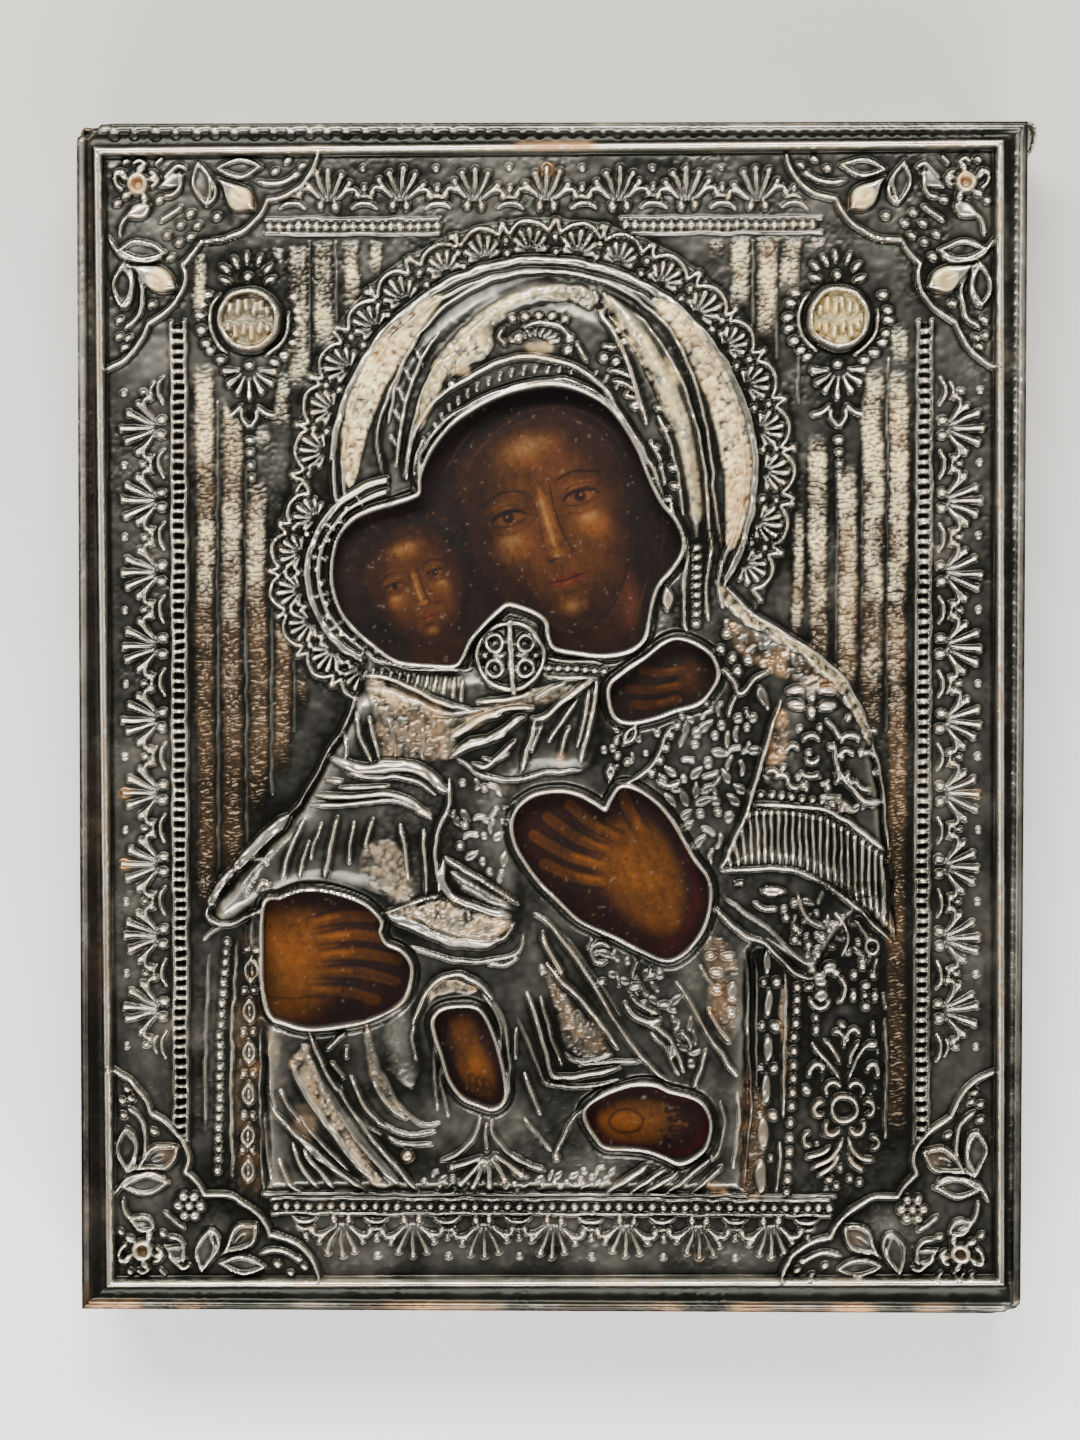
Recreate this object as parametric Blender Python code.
"""A devotional icon panel: a wooden board under a stamped metal cover.

The panel lies on its back, its picture facing up. +X runs to the picture's right, +Y to its top
and +Z out of it. The origin is on the floor, under the middle of the panel. The cover is one sheet:
it is folded down over the board's four sides, raised from behind into two haloed figures and their
ornament, and cut through wherever the painting below is left to show.

The ornament is drawn at the size of the real panel, in millimetres from the panel's middle, and
the drawing follows the panel when its width or height is changed.
"""

import math

import bmesh
import bpy
import numpy as np
from mathutils import Vector

MM = 0.001

# Driving dimensions, in metres
PANEL_WIDTH = 0.178
PANEL_HEIGHT = 0.224
BOARD_DEPTH = 0.022
BOARD_EDGE_ROUND = 0.0008
SHEET_WALL = 0.0008
SEAT_GAP = 0.0003
FLANGE_SETBACK = 0.0035
GROUND_RISE = 0.0012
RIM_WIDTH = 0.0048
RIM_RISE = 0.0022
RIM_EDGE_RISE = 0.0014
RIM_COVE_DEPTH = 0.0006
FILLET_WIDTH = 0.0013
SHEET_GRID = 0.0009
COVER_TRIANGLES = 6800

# The panel that the drawing below was made for, in millimetres
DRAWN_WIDTH = 178.0
DRAWN_HEIGHT = 224.0
CURVE_STEPS = 5
CUT_BELOW = 0.004
CUT_ABOVE = 0.012

# Heights of the raised forms over the sheet's ground, in millimetres
HALO_RISE = 0.9
ROBE_RISE = 1.5
HOOD_RISE = 2.6
CHILD_RISE = 2.7
SLEEVE_RISE = 2.6
CUFF_RISE = 3.3
MEDALLION_RISE = 1.1
LIP_WIDTH = 1.5
LIP_RISE = 0.9
BEAD_RISE = 0.7

# The two haloes: centre and radius
HALO = ((-1.3, 47.5), 39.2)
HALO_LACE = 7.6
HALO_LACE_PITCH = 5.7
CHILD_HALO = ((-28.5, 27.5), 19.5)
CHILD_HALO_LACE = 6.6

# The border band and its fields
BAND_INNER_X = 72.0
BAND_INNER_TOP = 96.0
BAND_INNER_BOTTOM = -95.0
BAND_MIDDLE_X = 78.5
BAND_MIDDLE_TOP = 102.5
BAND_MIDDLE_BOTTOM = -100.5
PALMETTE_PITCH_SIDE = 13.4
PALMETTE_PITCH_ENDS = 12.2
PALMETTE_HALF_RUN_SIDE = 67.0
PALMETTE_HALF_RUN_ENDS = 36.6
BEAD_LINE_X = 70.3
BEAD_LINE_TOP = 93.2
BEAD_LINE_BOTTOM = -92.2
CORNER_MIDDLE = (66.0, 88.0)
MEDALLIONS = ((-56.5, 76.3), (53.5, 76.3))
MEDALLION_RADIUS = 5.6

# Where the sheet is cut through to show the painting
OPENINGS = {
    "faces": (
        (-40.5, 30), (-40, 35), (-38.2, 37.8), (-35, 39.2), (-30, 40.7), (-26, 41.9), (-24.4, 43.6),
        (-23, 48), (-20.2, 53), (-16, 57), (-10, 59.8), (-4, 61.5), (1, 62), (5, 61.1), (9, 58.8),
        (13, 54.5), (15.5, 50), (17.6, 45), (20.2, 40), (23, 36.4), (24.2, 33.6), (22.6, 30),
        (20, 27), (18.8, 24), (18, 20), (16.3, 16.6), (13, 14), (8.5, 13.1), (3.4, 13.6),
        (1.1, 14.8), (0.3, 17.2), (-1.2, 19.6), (-4, 21.5), (-7.8, 22.6), (-10.2, 21.3),
        (-12.7, 18.3), (-15.4, 14.3), (-17.8, 11.4), (-23, 11), (-28, 11.7), (-31.6, 13.4),
        (-34.7, 16.6), (-38, 21.2), (-40, 25.3),
    ),
    "fingers": (
        (12, 7.6), (16, 10.2), (20.5, 13.6), (24, 14.8), (27.5, 13.6), (29.3, 11), (29.4, 8),
        (27.9, 5.6), (25, 4.2), (20, 3), (17, 1.7), (14, 1), (12.4, 2), (11.5, 5),
    ),
    "left_hand": (
        (-5.4, -19.5), (-5.2, -17), (-3.6, -14.8), (-0.5, -14), (3, -14.4), (7, -16.2), (11, -19),
        (12.4, -16.3), (14, -13.2), (15.6, -13.8), (18.2, -16.2), (21.6, -20.6), (24.6, -24.6),
        (27.4, -29.4), (28.4, -33), (27.8, -37), (26, -40.2), (23.3, -43), (20, -42.6),
        (13, -39), (7, -36.8), (2.8, -34.2), (-0.2, -30.6), (-3, -26.8), (-4.8, -23),
    ),
    "right_hand": (
        (-52.6, -37), (-49, -34), (-45, -32.9), (-40, -33.3), (-36.2, -35), (-33.4, -37.6),
        (-30.3, -42.4), (-28, -45), (-27.1, -48), (-27.9, -51.6), (-30.6, -53.9), (-34.4, -55.3),
        (-40, -56), (-46, -56.4), (-50, -55.8), (-53, -54.2), (-53.6, -50), (-53.9, -44),
        (-53.6, -40),
    ),
    "upper_foot": (
        (-20.2, -56.8), (-18.4, -55), (-15.6, -54.6), (-13, -56.4), (-11.3, -60), (-9.9, -65),
        (-8.8, -69.3), (-9.4, -71.5), (-12, -72.5), (-14.8, -71.3), (-17.7, -68.2), (-19.2, -64),
        (-20.5, -60),
    ),
    "lower_foot": (
        (7.5, -74.4), (9.4, -72), (13, -70.3), (18, -69.5), (21, -70.5), (24, -72), (27.3, -72.5),
        (28.9, -74.4), (29.5, -77.5), (28.5, -80.7), (25.8, -82.2), (22.6, -81.4), (19, -80.1),
        (14, -79.9), (10.3, -80.2), (8.4, -78),
    ),
}

# The two figures' raised masses, each inside the one before it
ROBE = (
    (-31, 44), (-32.2, 52), (-30.8, 60), (-26.5, 70), (-18, 78), (-10, 82), (0, 84), (10, 82),
    (20, 75.5), (25.3, 68), (28.5, 58), (31, 45), (33, 32), (34.5, 25), (40, 19), (50, 13),
    (55.5, 7.5), (58.5, 2), (61, -5), (62.8, -15), (63.8, -25), (65, -42), (59, -40), (52, -46),
    (44, -46), (38.5, -44), (38, -90), (-54.5, -90), (-54.8, -57), (-56, -40), (-50, -20),
    (-38, 2), (-36, 10), (-34, 30),
)
HOOD = (
    (-27, 44), (-28.2, 52), (-26.8, 60), (-23, 68), (-16, 75), (-9, 79), (0, 80.5), (8, 79.5),
    (17, 73.5), (22.5, 65), (26, 55), (28.6, 42), (30, 30), (26, 20), (20, 15), (0, 12), (-20, 20),
)
CHILD = (
    (-36.5, 6), (-38.8, 1.5), (-42.6, -6), (-45.2, -12), (-50, -19), (-57, -25.6), (-63, -33),
    (-64.5, -37), (-63.3, -39.3), (-58, -38.2), (-53, -34.5), (-44, -31.5), (-34, -33), (-28, -37),
    (-20, -40), (-8, -40), (-5, -31), (-6, -12), (8, -9), (9.5, 8), (0, 12), (-18, 10),
)
SLEEVE = (
    (42.5, 2), (46, 8), (52, 8.5), (57, 3.5), (60, -3), (62.5, -14), (63.5, -26), (64.6, -41),
    (59.5, -36.6), (53, -32.2), (46, -29.6), (39, -28.7), (32.5, -28.5), (36, -21), (39, -12),
    (41, -4),
)
CUFF = (
    (-31, -37), (-26, -34.5), (-20, -33.5), (-14, -35.5), (-8.6, -37), (-7.4, -39.4), (-10.5, -42),
    (-17, -42.8), (-24, -41), (-29, -38.7),
)

# Raised lines: width, rise, and the points that each runs through
HOOD_FOLDS = (
    (1.4, 0.8, ((-31.4, 44.5), (-32.2, 52), (-30.8, 60), (-26.5, 70), (-18, 78), (-10, 82), (0, 83.8),
                (10, 82), (20, 75.5), (25.3, 67), (28.5, 56), (30.5, 45), (32.3, 33))),
    (2.0, 0.9, ((-30, 48), (-28.8, 57), (-27, 64), (-23.8, 69.8), (-20, 73))),
    (1.5, 0.8, ((-27, 46), (-26, 53), (-24.5, 60), (-22.4, 65.5), (-18.5, 68.8))),
    (4.6, 1.3, ((-19.5, 72), (-16, 75), (-10, 78.4), (-4, 80), (2, 80.3), (7, 78.6), (12, 76.6),
                (17, 72), (20.5, 66), (24, 58), (26.6, 50), (28.4, 41), (30, 33))),
    (1.5, 0.9, ((-25.7, 52), (-22, 58), (-16, 62.5), (-11, 66.5), (-7, 68), (-1, 67.8), (4, 67.3),
                (8, 65), (11, 62))),
    (1.6, 0.9, ((-10, 72), (-4, 74.2), (0, 74.3), (3, 72.8), (6, 69.5), (8, 66))),
    (1.6, 1.0, ((6, 79), (10, 75), (13, 70.5), (16, 64.5), (18, 57))),
    (1.4, 0.8, ((20, 55.5), (22.5, 51), (24, 46), (24.8, 39), (25, 32), (25.7, 24), (25.8, 19))),
)
SHOULDER_FOLDS = (
    (3.0, 1.5, ((31, 28), (34.5, 24.5), (40, 18.6), (46, 15), (51, 11.4), (55.3, 6.5), (58.2, 1.5),
                (60.2, -4), (61.6, -10), (62.6, -16), (63.2, -24))),
    (1.5, 0.9, ((43.5, 3), (41.5, -3), (40, -9), (38, -15), (35.5, -21), (32, -27))),
    (1.5, 0.8, ((37, -15.8), (43, -16), (49, -17), (55, -19.5), (60, -22.3), (63.8, -24.8))),
    (1.5, 0.8, ((32, -28.3), (39, -28.5), (45, -29.2), (51, -31.2), (57, -34), (61, -38), (65, -42))),
    (1.5, 0.8, ((31, -35), (36, -39.5), (40, -42), (45, -45.5), (49, -49.3), (51.5, -46.8))),
)
CHILD_FOLDS = (
    (2.0, 1.1, ((-36.8, 4.5), (-39.5, -0.5), (-42.3, -6), (-45, -12), (-49, -18), (-55, -23.5),
                (-60, -29), (-63.2, -33.5), (-64, -37), (-62.6, -39), (-58.5, -38), (-53, -35))),
    (2.0, 1.1, ((-42, -6.2), (-38, -8.8), (-33, -9.3), (-28, -8.8), (-24, -10.5), (-19.3, -13.8))),
    (1.8, 0.9, ((-45, -14.6), (-38, -15.2), (-32, -14.6), (-28, -14.8), (-24, -16.6), (-20.5, -18.6))),
    (1.4, 0.8, ((-19.3, -10.5), (-19, -13.8), (-19.8, -18), (-21.5, -22), (-21.3, -29), (-21, -33))),
    (1.4, 0.8, ((-46.5, -18), (-49, -24), (-50, -29))),
    (1.4, 0.8, ((-39.8, -18), (-41, -23), (-42, -29.5))),
    (1.4, 0.8, ((-33, -18.5), (-35, -23))),
    (1.4, 0.8, ((-28.3, -19.5), (-27.3, -24), (-26.8, -30))),
    (2.8, 1.0, ((-34, 6), (-30, 5), (-26, 3), (-22, 1.5), (-16, 1))),
    (1.4, 0.7, ((-36.7, 3), (-36, -1), (-35, -6.5))),
    (1.4, 0.7, ((-34, 0.5), (-33, -3.5), (-31.8, -7))),
    (1.7, 1.0, ((-19.5, -4), (-16, -1.5), (-12, 0.5), (-8, 1.8), (0, 4.5), (8.5, 8.5))),
    (1.7, 1.0, ((-19, -7), (-16, -4.5), (-11, -3.8), (-8, -1.5), (-4, 0.8), (2, 3.5))),
    (1.5, 0.8, ((-13, -8), (-9, -6), (-6, -4))),
    (1.6, 0.9, ((-5, -9), (-4, -4), (-3, 0))),
    (1.6, 0.9, ((5.5, -8), (7, -2), (8.6, 8))),
    (1.5, 0.8, ((0.5, -6.5), (3, -2.5), (6, 3))),
    (1.4, 0.8, ((-18, -7.5), (-14, -9.8), (-9, -10.8), (-4, -10.6), (2, -9.8))),
    (1.5, 0.9, ((-20, -26), (-16, -28.5), (-10, -31.5), (-5, -34.5))),
)
LAP_FOLDS = (
    (1.5, 0.9, ((-46.5, -58.5), (-44, -63), (-41, -69), (-37, -75), (-31, -82), (-24.5, -89.8))),
    (3.6, 1.1, ((-47.5, -64), (-44.5, -71), (-39.5, -78), (-35, -83.5), (-31, -87.5))),
    (1.5, 0.8, ((-52.5, -73), (-48, -79), (-42, -85), (-35, -89.8))),
    (1.4, 0.8, ((-50, -79), (-46, -84), (-41, -89.3))),
    (1.4, 0.8, ((-51.5, -83), (-49.5, -87), (-47, -89.5))),
    (1.5, 0.8, ((-37.5, -67.5), (-35.5, -71.5), (-33, -75), (-30.5, -77))),
    (1.8, 0.9, ((-34, -57.5), (-34, -63), (-32.5, -68.5), (-29, -73), (-24, -75.8))),
    (2.0, 1.1, ((-24.5, -58), (-23.5, -53.5), (-21, -50), (-17.5, -48), (-14, -49.5), (-10.5, -53),
                (-8.3, -58), (-7.2, -63), (-6.4, -68))),
    (1.6, 0.8, ((-13, -75), (-14.5, -79), (-17.5, -82), (-20.5, -83.5))),
    (1.6, 0.8, ((-11.8, -75), (-10, -80.5), (-6, -83.5), (-2, -84.5))),
    (1.5, 0.8, ((-12.4, -80), (-12, -87))),
    (1.5, 0.8, ((-13.4, -82), (-16.5, -87))),
    (1.5, 0.8, ((-11.4, -82), (-7.5, -87))),
    (1.5, 0.9, ((-1, -39.5), (3, -45), (9, -52), (14.5, -59), (20, -65), (23, -68.5))),
    (1.8, 1.0, ((-1.5, -45), (2.5, -48.5), (6.5, -53.5), (10, -58), (13, -62.5))),
    (1.5, 0.8, ((25, -51), (29, -57), (33, -64), (35.5, -68))),
    (1.8, 0.9, ((-9, -48.5), (-5, -56), (-2, -62), (1, -67.2), (7, -66.6), (14, -65))),
    (1.5, 0.8, ((-5, -67), (-2.5, -72), (0.5, -79))),
    (1.5, 0.8, ((1, -82), (3.2, -77.5), (5.6, -74.6))),
    (1.5, 0.8, ((29.5, -62), (28.5, -66), (27, -69.6))),
    (1.6, 0.8, ((11, -89.5), (15, -87), (19, -84))),
    (1.6, 0.8, ((17, -89.5), (21, -86.4), (25, -84))),
    (1.6, 0.8, ((24, -89.5), (28, -86), (31.5, -82))),
)
COLUMN_LINES = (
    (1.3, 0.7, ((-61, -41), (-61.2, -65), (-61, -86))),
    (1.6, 0.9, ((38, -44), (37.8, -65), (36.8, -89.5))),
    (1.6, 0.9, ((44.6, -48), (44.2, -65), (43.2, -88))),
    (1.3, 0.7, ((63.4, -52), (63.6, -66), (63.2, -84))),
    (1.4, 0.8, ((-55, -58), (-55, -74), (-54.6, -89))),
)


class Drawing:
    """The sheet's points in the drawing's millimetres, and the height raised so far at each."""

    def __init__(self, x, y):
        self.x = x
        self.y = y
        self.height = np.zeros_like(x)

    def distance_to(self, points):
        """Every point's distance to a line through the given points."""
        nearest = np.full(self.x.shape, np.inf)
        for (ax, ay), (bx, by) in zip(points, points[1:]):
            dx, dy = bx - ax, by - ay
            length = max(dx * dx + dy * dy, 1e-9)
            share = np.clip(((self.x - ax) * dx + (self.y - ay) * dy) / length, 0, 1)
            gap = np.hypot(self.x - ax - share * dx, self.y - ay - share * dy)
            nearest = np.minimum(nearest, gap)
        return nearest

    def depth_inside(self, outline):
        """Distance to a closed outline, positive inside it and negative outside."""
        loop = smooth_loop(outline)
        crossings = np.zeros(self.x.shape, bool)
        for (ax, ay), (bx, by) in zip(loop, loop[1:]):
            if ay == by:
                continue
            spans = (self.y > min(ay, by)) & (self.y <= max(ay, by))
            crossings ^= spans & (self.x < ax + (self.y - ay) * (bx - ax) / (by - ay))
        gap = self.distance_to(loop)
        return np.where(crossings, gap, -gap)

    def lift_to(self, depth, rise, edge):
        """Raises what lies inside to one height, over an edge of the given width."""
        share = ease(depth / edge)
        self.height += (rise - self.height) * share

    def add_ridge(self, points, width, rise):
        """Adds a round-topped line through the points."""
        gap = self.distance_to(smooth_line(points))
        self.height += rise * dome(gap / (width / 2))

    def add_bump(self, x, y, radius, rise):
        """Adds one round boss."""
        self.height += rise * dome(np.hypot(self.x - x, self.y - y) / radius)

    def add_leaf(self, x, y, angle, length, width, rise):
        """Adds one pointed leaf whose stalk end is at x, y."""
        along = (self.x - x) * math.cos(angle) + (self.y - y) * math.sin(angle)
        across = (self.y - y) * math.cos(angle) - (self.x - x) * math.sin(angle)
        share = np.clip(along / length, 0, 1)
        half_width = width / 2 * np.sin(math.pi * share ** 0.8) + 1e-6
        inside = (along > 0) & (along < length)
        self.height += np.where(inside, rise * dome(across / half_width), 0)

    def add_palmette(self, x, y, angle, length):
        """Adds a fan of three broad leaves that opens along the angle."""
        for turn, share in ((-0.8, 0.8), (0, 1.0), (0.8, 0.8)):
            self.add_leaf(x, y, angle + turn, length * share, length * 0.42, 0.9)


def ease(share):
    """Runs smoothly from 0 to 1 as share does."""
    share = np.clip(share, 0, 1)
    return share * share * (3 - 2 * share)


def dome(share):
    """A round top of height 1, falling to 0 where share reaches 1."""
    return np.sqrt(np.clip(1 - share * share, 0, 1)) * ease(2 - 2 * np.abs(share))


def smooth_line(points):
    """Points on a smooth curve through the given ones."""
    ends = [points[0], *points, points[-1]]
    curve = []
    for before, start, end, after in zip(ends, ends[1:], ends[2:], ends[3:]):
        for step in range(CURVE_STEPS):
            curve.append(between(before, start, end, after, step / CURVE_STEPS))
    return [*curve, points[-1]]


def smooth_loop(points):
    """Points on a smooth closed curve through the given ones; the last repeats the first."""
    count = len(points)
    loop = []
    for index in range(count):
        around = [points[(index + offset) % count] for offset in (-1, 0, 1, 2)]
        for step in range(CURVE_STEPS):
            loop.append(between(*around, step / CURVE_STEPS))
    return [*loop, loop[0]]


def between(before, start, end, after, share):
    """The point at a share of the way from start to end, on a curve through all four."""
    before, start, end, after = (Vector(point) for point in (before, start, end, after))
    bend = (2 * before - 5 * start + 4 * end - after) * share + (3 * (start - end) + after - before) * share ** 2
    point = start + 0.5 * share * (end - before + bend)
    return point.x, point.y


def draw_band(drawing):
    """The palmettes, corners and bead lines of the border."""
    for side in (-1, 1):
        outward = 0 if side > 0 else math.pi
        for y in np.arange(-PALMETTE_HALF_RUN_SIDE, PALMETTE_HALF_RUN_SIDE + 0.1, PALMETTE_PITCH_SIDE):
            drawing.add_palmette(side * (BAND_MIDDLE_X - 4.5), y, outward, 9.0)
        drawing.add_ridge([(side * BEAD_LINE_X, -76), (side * BEAD_LINE_X, 75)], 2.6, 0.6)
    for y, outward in ((BAND_MIDDLE_TOP, math.pi / 2), (BAND_MIDDLE_BOTTOM, -math.pi / 2)):
        root = y - math.copysign(4.0, outward)
        for x in np.arange(-PALMETTE_HALF_RUN_ENDS, PALMETTE_HALF_RUN_ENDS + 0.1, PALMETTE_PITCH_ENDS):
            drawing.add_palmette(x, root, outward, 8.2)
    drawing.add_ridge([(-52, BEAD_LINE_TOP), (-24, BEAD_LINE_TOP)], 2.4, 0.6)
    drawing.add_ridge([(24, BEAD_LINE_TOP), (50, BEAD_LINE_TOP)], 2.4, 0.6)
    drawing.add_ridge([(-50, BEAD_LINE_BOTTOM), (51, BEAD_LINE_BOTTOM)], 2.6, 0.6)
    for right in (-1, 1):
        for up in (-1, 1):
            draw_corner(drawing, right, up)


def draw_corner(drawing, right, up):
    """One corner piece: its scalloped edge, flower, leaves and berries."""
    edge = ((84, 69), (79, 73), (74.6, 78), (73.6, 82), (70.6, 84.6), (68, 88.2), (64.2, 90.2),
            (57.2, 91.2), (53, 96), (47, 102), (45, 107))
    drawing.add_ridge([(right * x, up * y) for x, y in edge], 1.4, 0.8)
    flower = (75.5, 99.5)
    drawing.add_bump(right * flower[0], up * flower[1], 2.2, 1.0)
    for turn in np.linspace(0, 2 * math.pi, 5, endpoint=False):
        x, y = flower[0] + 3.4 * math.cos(turn), flower[1] + 3.4 * math.sin(turn)
        drawing.add_bump(right * x, up * y, 1.5, 0.7)
    leaves = ((63, 101, -0.9, 9, 5), (60.5, 105, -0.1, 9, 4), (66, 102, -1.6, 8, 4),
              (79.5, 84, 0.1, -9, 5), (82, 84, -1.7, 10, 4), (79, 86, 0.6, -7, 4))
    for x, y, turn, length, width in leaves:
        direction = math.atan2(up * math.sin(turn), right * math.cos(turn))
        if length < 0:
            direction += math.pi
        drawing.add_leaf(right * x, up * y, direction, abs(length), width, 1.1)
    for x, y in ((69, 95.5), (66.5, 93.6), (71.4, 93.4), (69, 91.4), (66, 97)):
        drawing.add_bump(right * x, up * y, 1.2, 0.8)


def draw_haloes(drawing):
    """Both haloes: the flat rings, their raised edges and the lace of small palmettes round them."""
    for (middle, radius), lace, start, stop in (
        (HALO, HALO_LACE, -28, 186),
        (CHILD_HALO, CHILD_HALO_LACE, 128, 246),
    ):
        from_middle = np.hypot(drawing.x - middle[0], drawing.y - middle[1])
        drawing.lift_to(radius + lace - from_middle, 0.35, 1.0)
        drawing.lift_to(radius - from_middle, HALO_RISE, 1.2)
        drawing.height += 0.9 * dome((from_middle - radius) / 0.8)
        count = round(math.radians(stop - start) * (radius + lace / 2) / HALO_LACE_PITCH)
        for turn in np.radians(np.linspace(start, stop, count)):
            x = middle[0] + (radius + 1.6) * math.cos(turn)
            y = middle[1] + (radius + 1.6) * math.sin(turn)
            drawing.add_leaf(x, y, turn, lace - 1.4, 4.0, 0.9)


def draw_medallions(drawing):
    """The two round bosses, with rays above and a drop of leaves below each."""
    for x, y in MEDALLIONS:
        from_middle = np.hypot(drawing.x - x, drawing.y - y)
        drawing.lift_to(MEDALLION_RADIUS - from_middle, MEDALLION_RISE, 1.6)
        for turn in np.radians(np.arange(30, 151, 24)):
            root_x, root_y = x + 7.2 * math.cos(turn), y + 7.2 * math.sin(turn)
            drawing.add_leaf(root_x, root_y, turn, 3.6, 1.8, 0.6)
        drawing.add_palmette(x, y - 8.0, -math.pi / 2, 7.0)
        drawing.add_palmette(x, y - 15.5, -math.pi / 2, 5.0)


def draw_figures(drawing):
    """The mother, the child and their clothes."""
    drawing.lift_to(drawing.depth_inside(ROBE), ROBE_RISE, 2.4)
    drawing.lift_to(drawing.depth_inside(HOOD), HOOD_RISE, 5.0)
    drawing.lift_to(drawing.depth_inside(SLEEVE), SLEEVE_RISE, 5.0)
    drawing.lift_to(drawing.depth_inside(CHILD), CHILD_RISE, 4.0)
    drawing.lift_to(drawing.depth_inside(CUFF), CUFF_RISE, 3.0)
    for width, rise, points in (*HOOD_FOLDS, *SHOULDER_FOLDS, *CHILD_FOLDS, *LAP_FOLDS, *COLUMN_LINES):
        drawing.add_ridge(points, width, rise)
    draw_pleats(drawing)
    draw_side_ornament(drawing)


def draw_pleats(drawing):
    """The ribs of the pleated band across the mother's sleeve."""
    for share in np.linspace(0.05, 0.95, 12):
        top = (38 + 25.5 * share, -16.6 - 8.2 * share ** 1.7)
        foot = (34.5 + 29.5 * share, -27.6 - 12.4 * share ** 2.2)
        drawing.add_ridge([top, foot], 1.3, 0.6)


def draw_side_ornament(drawing):
    """The upright strips of ovals and the rosette beside the lap, and the blossom on the sleeve."""
    for y in np.arange(-84, -42, 9.5):
        drawing.add_leaf(-57.8, y - 3, math.pi / 2, 6, 2.6, 0.7)
        drawing.add_leaf(41, y - 3, math.pi / 2, 6, 2.6, 0.7)
    rosette = (55.8, -73.5)
    drawing.add_bump(*rosette, 2.4, 0.8)
    for turn in np.linspace(0, 2 * math.pi, 6, endpoint=False):
        drawing.add_bump(rosette[0] + 4.1 * math.cos(turn), rosette[1] + 4.1 * math.sin(turn), 1.9, 0.8)
    drawing.add_palmette(rosette[0], rosette[1] + 6.5, math.pi / 2, 8.0)
    drawing.add_palmette(rosette[0], rosette[1] - 6.0, -math.pi / 2, 7.5)
    for x, y in ((48.8, 3.6), (49, -4.4), (56.4, -5.6), (54, -40)):
        for turn in np.linspace(0.3, 2 * math.pi + 0.3, 5, endpoint=False):
            drawing.add_bump(x + 2.4 * math.cos(turn), y + 2.4 * math.sin(turn), 1.3, 0.6)


def draw_rim(drawing, to_edge):
    """The moulding all round: a rolled edge, a hollow and a fillet, given each point's way to the edge."""
    fillet = RIM_WIDTH - FILLET_WIDTH / 2
    share = np.clip(to_edge / fillet, 0, 1)
    slope = RIM_EDGE_RISE + (RIM_RISE - RIM_EDGE_RISE) * share - RIM_COVE_DEPTH * np.sin(math.pi * share)
    inner = RIM_RISE * dome(np.clip((to_edge - fillet) / FILLET_WIDTH, 0, 1))
    rim = np.where(to_edge < fillet, slope, inner) / MM
    drawing.height = np.where(to_edge < RIM_WIDTH + FILLET_WIDTH / 2, np.maximum(rim, 0), drawing.height)


def raised_sheet():
    """The cover's front as a closed block: a grid raised by the drawing, and drawn down to the flange's foot."""
    mesh = bpy.data.meshes.new("cover")
    sheet = bmesh.new()
    across = round(PANEL_WIDTH / SHEET_GRID)
    along = round(PANEL_HEIGHT / SHEET_GRID)
    bmesh.ops.create_grid(sheet, x_segments=across, y_segments=along, size=0.5)
    bmesh.ops.scale(sheet, verts=sheet.verts, vec=(PANEL_WIDTH, PANEL_HEIGHT, 1))
    x = np.array([point.co.x for point in sheet.verts])
    y = np.array([point.co.y for point in sheet.verts])
    drawing = Drawing(x / PANEL_WIDTH * DRAWN_WIDTH, y / PANEL_HEIGHT * DRAWN_HEIGHT)
    draw_haloes(drawing)
    draw_medallions(drawing)
    draw_band(drawing)
    draw_figures(drawing)
    for outline in OPENINGS.values():
        depth = drawing.depth_inside(outline)
        drawing.height += LIP_RISE * dome(np.clip(depth, -np.inf, 0) / LIP_WIDTH)
    draw_rim(drawing, np.minimum(PANEL_WIDTH / 2 - np.abs(x), PANEL_HEIGHT / 2 - np.abs(y)))
    ground = BOARD_DEPTH + SEAT_GAP + GROUND_RISE
    for point, rise in zip(sheet.verts, drawing.height):
        point.co.z = ground + rise * MM
    edge = [side for side in sheet.edges if side.is_boundary]
    skirt = bmesh.ops.extrude_edge_only(sheet, edges=edge)["geom"]
    foot = [item for item in skirt if isinstance(item, bmesh.types.BMVert)]
    for point in foot:
        point.co.z = FLANGE_SETBACK
    foot_edges = [side for side in sheet.edges if side.is_boundary]
    bmesh.ops.edgeloop_fill(sheet, edges=foot_edges)
    bmesh.ops.recalc_face_normals(sheet, faces=sheet.faces)
    sheet.to_mesh(mesh)
    sheet.free()
    return mesh


def cutter(name, mesh):
    """A helper shape that a Boolean takes away; it isn't a piece of the object."""
    helper = bpy.data.objects.new(name, mesh)
    helper.display_type = "WIRE"
    helper.hide_render = True
    bpy.context.scene.collection.objects.link(helper)
    return helper


def opening_mesh(name, outline):
    """A prism with the outline of one opening, taller than the cover."""
    mesh = bpy.data.meshes.new(name)
    prism = bmesh.new()
    across, along = PANEL_WIDTH / DRAWN_WIDTH, PANEL_HEIGHT / DRAWN_HEIGHT
    low = BOARD_DEPTH - CUT_BELOW
    ring = [prism.verts.new((x * across, y * along, low)) for x, y in outline]
    floor = prism.faces.new(ring)
    top = bmesh.ops.extrude_face_region(prism, geom=[floor])["geom"]
    raised = [item for item in top if isinstance(item, bmesh.types.BMVert)]
    bmesh.ops.translate(prism, verts=raised, vec=(0, 0, CUT_BELOW + CUT_ABOVE))
    bmesh.ops.recalc_face_normals(prism, faces=prism.faces)
    prism.to_mesh(mesh)
    prism.free()
    return mesh


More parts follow.
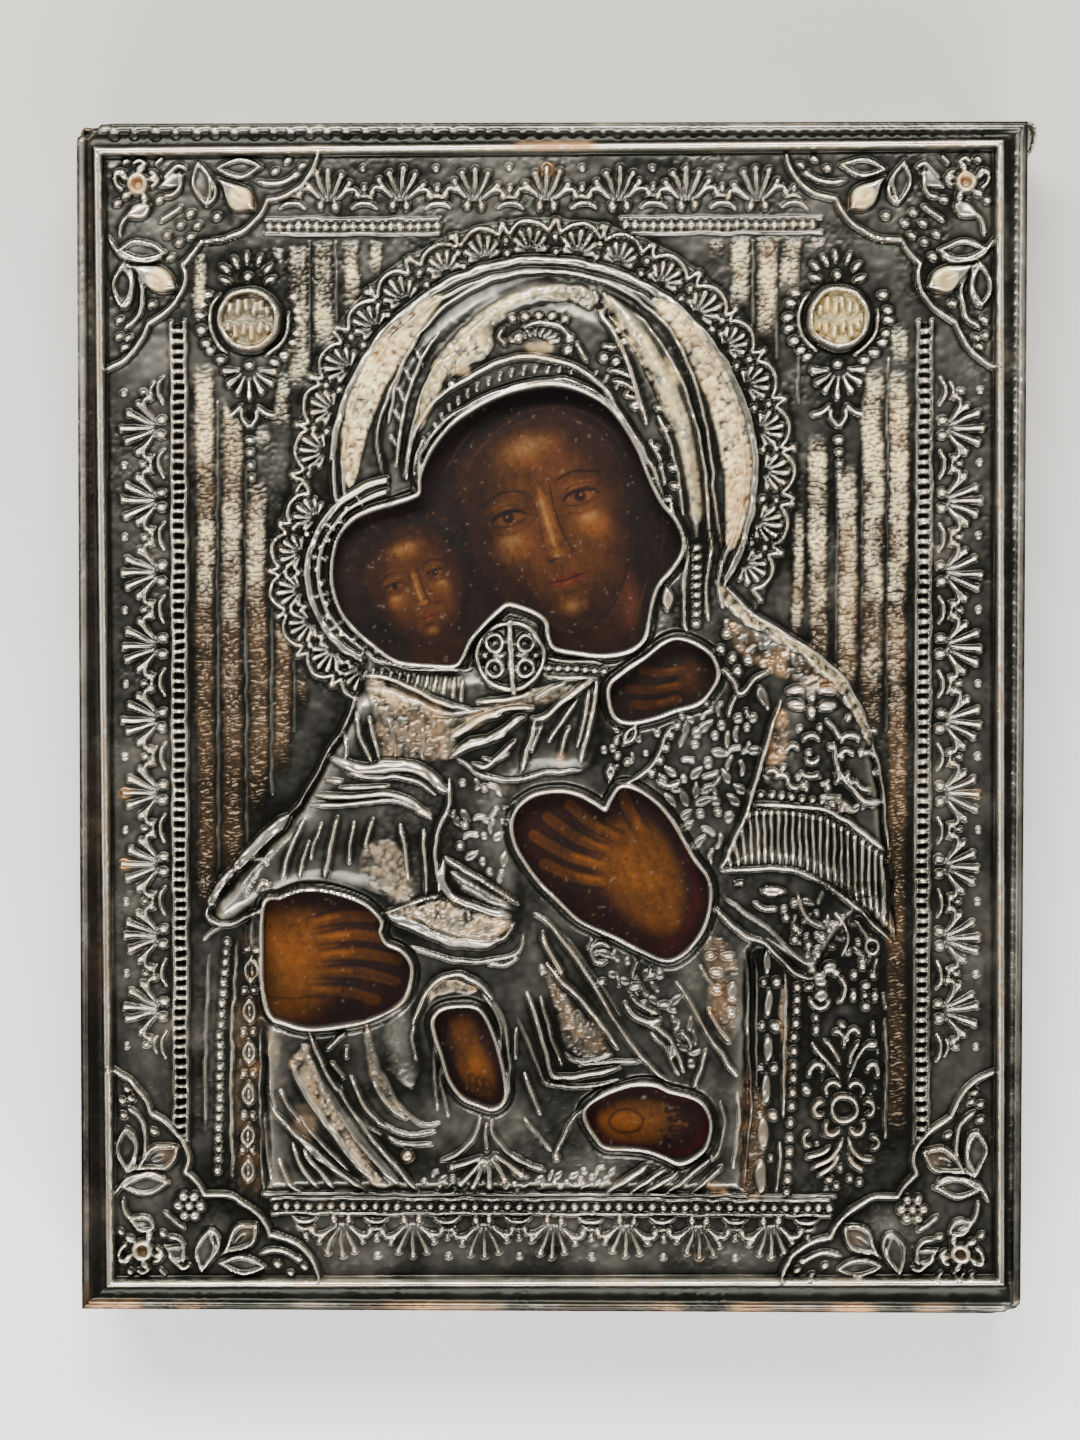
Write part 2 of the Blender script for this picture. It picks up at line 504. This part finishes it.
def box_mesh(name, width, height, low, high):
    """A box centred on the panel, between two levels."""
    mesh = bpy.data.meshes.new(name)
    block = bmesh.new()
    bmesh.ops.create_cube(block, size=1)
    bmesh.ops.scale(block, verts=block.verts, vec=(width, height, high - low))
    bmesh.ops.translate(block, verts=block.verts, vec=(0, 0, (low + high) / 2))
    block.to_mesh(mesh)
    block.free()
    return mesh


def board_side(length):
    """The board's length along a side of the panel: what the folded sheet leaves inside it."""
    return length - 2 * (SHEET_WALL + SEAT_GAP)


def material(name, colour, roughness, metallic):
    """A plain material."""
    made = bpy.data.materials.new(name)
    made.use_nodes = True
    shader = made.node_tree.nodes["Principled BSDF"]
    shader.inputs["Base Color"].default_value = (*colour, 1)
    shader.inputs["Roughness"].default_value = roughness
    shader.inputs["Metallic"].default_value = metallic
    return made


def build_board():
    """The wooden board that carries the painting."""
    mesh = box_mesh("board", board_side(PANEL_WIDTH), board_side(PANEL_HEIGHT), 0, BOARD_DEPTH)
    mesh.materials.append(material("old_wood", (0.16, 0.09, 0.05), 0.75, 0))
    board = bpy.data.objects.new("board", mesh)
    bpy.context.scene.collection.objects.link(board)
    rounding = board.modifiers.new("worn_edges", "BEVEL")
    rounding.width = BOARD_EDGE_ROUND
    rounding.segments = 2


def build_cover():
    """The stamped metal cover, hollow behind for the board and cut through at the openings."""
    mesh = raised_sheet()
    mesh.materials.append(material("silvered_copper", (0.42, 0.40, 0.37), 0.38, 1))
    mesh.shade_smooth()
    cover = bpy.data.objects.new("cover", mesh)
    bpy.context.scene.collection.objects.link(cover)
    thinning = cover.modifiers.new("fewer_faces", "DECIMATE")
    sheet_triangles = sum(len(face.vertices) - 2 for face in mesh.polygons)
    thinning.ratio = COVER_TRIANGLES / sheet_triangles
    hollow = box_mesh(
        "hollow",
        PANEL_WIDTH - 2 * SHEET_WALL,
        PANEL_HEIGHT - 2 * SHEET_WALL,
        -CUT_BELOW,
        BOARD_DEPTH + SEAT_GAP,
    )
    helpers = [cutter("board_space", hollow)]
    for name, outline in OPENINGS.items():
        helpers.append(cutter(f"{name}_cut", opening_mesh(name, smooth_loop(outline)[:-1])))
    for helper in helpers:
        cut = cover.modifiers.new(helper.name, "BOOLEAN")
        cut.operation = "DIFFERENCE"
        cut.object = helper


def main():
    """Clears the scene and builds the panel."""
    for old in list(bpy.data.objects):
        bpy.data.objects.remove(old)
    build_board()
    build_cover()


main()
